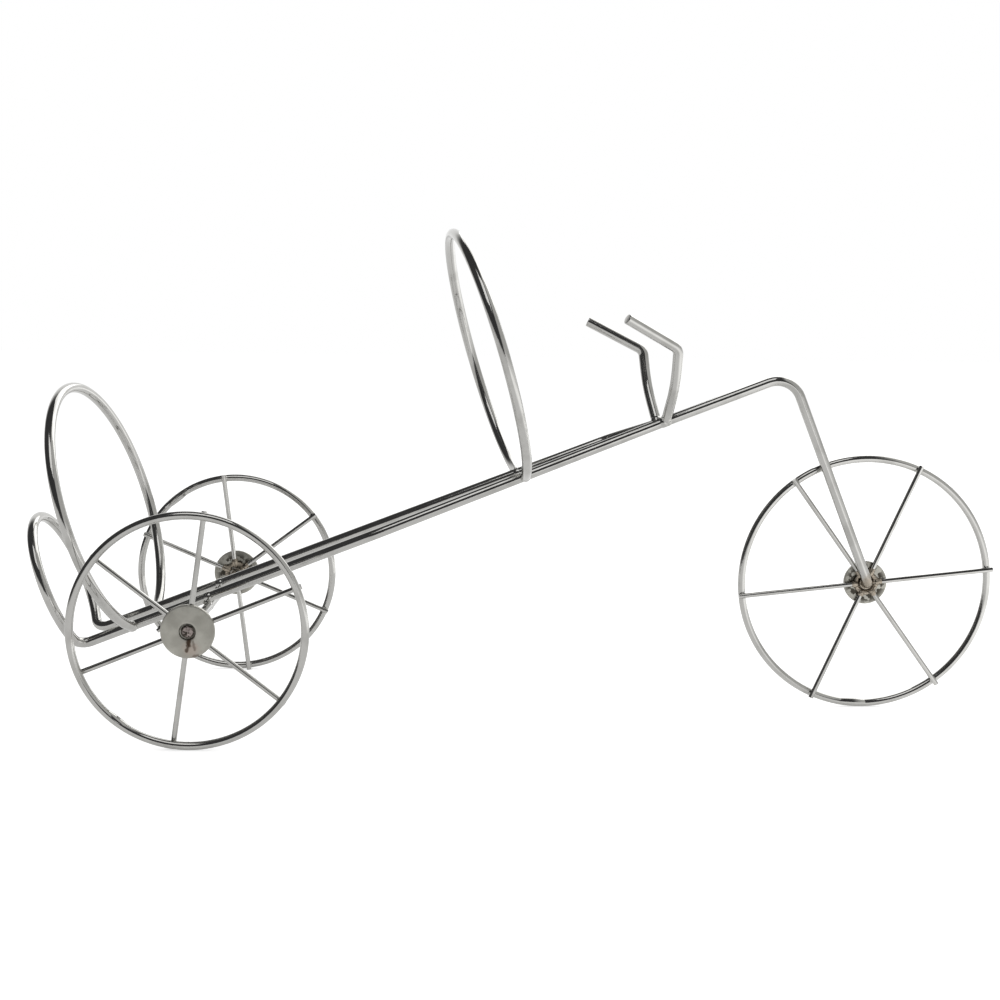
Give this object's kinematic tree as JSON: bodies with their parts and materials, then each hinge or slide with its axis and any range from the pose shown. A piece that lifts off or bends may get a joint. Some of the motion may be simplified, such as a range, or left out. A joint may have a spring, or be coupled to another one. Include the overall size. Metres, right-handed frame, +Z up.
{
  "type": "wine rack",
  "caption": "Steel-wire holder for one wine bottle, shaped as a tricycle: the bottle lies on two sloping rails inside hoops, its neck in a fork, and the wheels turn.",
  "frame": {"origin": "on the floor under the middle of the holder, halfway between the rear loop's back and the front rim's front", "axes": "+X from the rear wheels to the front wheel, +Y to the holder's left side, +Z up"},
  "size_m": [0.386, 0.131, 0.1911],
  "materials": {
    "frame_wire": "bright nickel-chrome plate on drawn steel wire, 4 mm thick",
    "wheel_wire": "bright nickel-chrome plate on thinner drawn steel wire",
    "hub_steel": "satin warm-grey plate on punched steel discs",
    "axle_steel": "plated wire with hammered, slightly heat-tinted ends"
  },
  "bodies": {
    "frame": {"main_wire": "frame_wire", "front_hoop": "frame_wire", "rear_hoop": "frame_wire", "right_neck_support": "frame_wire", "left_neck_support": "frame_wire", "rear_axle": "axle_steel"},
    "right_wheel": {"right_rim": "wheel_wire", "right_hub_disc": "hub_steel", "right_spoke_1": "wheel_wire", "right_spoke_2": "wheel_wire", "right_spoke_3": "wheel_wire", "right_spoke_4": "wheel_wire", "right_spoke_5": "wheel_wire", "right_spoke_6": "wheel_wire"},
    "left_wheel": {"left_rim": "wheel_wire", "left_hub_disc": "hub_steel", "left_spoke_1": "wheel_wire", "left_spoke_2": "wheel_wire", "left_spoke_3": "wheel_wire", "left_spoke_4": "wheel_wire", "left_spoke_5": "wheel_wire", "left_spoke_6": "wheel_wire"},
    "front_wheel": {"front_rim": "wheel_wire", "front_hub_disc": "hub_steel", "front_spoke_1": "wheel_wire", "front_spoke_2": "wheel_wire", "front_spoke_3": "wheel_wire", "front_spoke_4": "wheel_wire", "front_spoke_5": "wheel_wire", "front_spoke_6": "wheel_wire"}
  },
  "joints": [
    {"name": "right_wheel_spin", "type": "hinge", "parent": "frame", "child": "right_wheel", "pos_m": [-0.12188, -0.0633, 0.0435], "axis": [0, 1, 0], "continuous": true},
    {"name": "left_wheel_spin", "type": "hinge", "parent": "frame", "child": "left_wheel", "pos_m": [-0.12188, 0.0633, 0.0435], "axis": [0, 1, 0], "continuous": true},
    {"name": "front_wheel_spin", "type": "hinge", "parent": "frame", "child": "front_wheel", "pos_m": [0.14112, 0.0019, 0.0519], "axis": [0, 1, 0], "continuous": true}
  ]
}
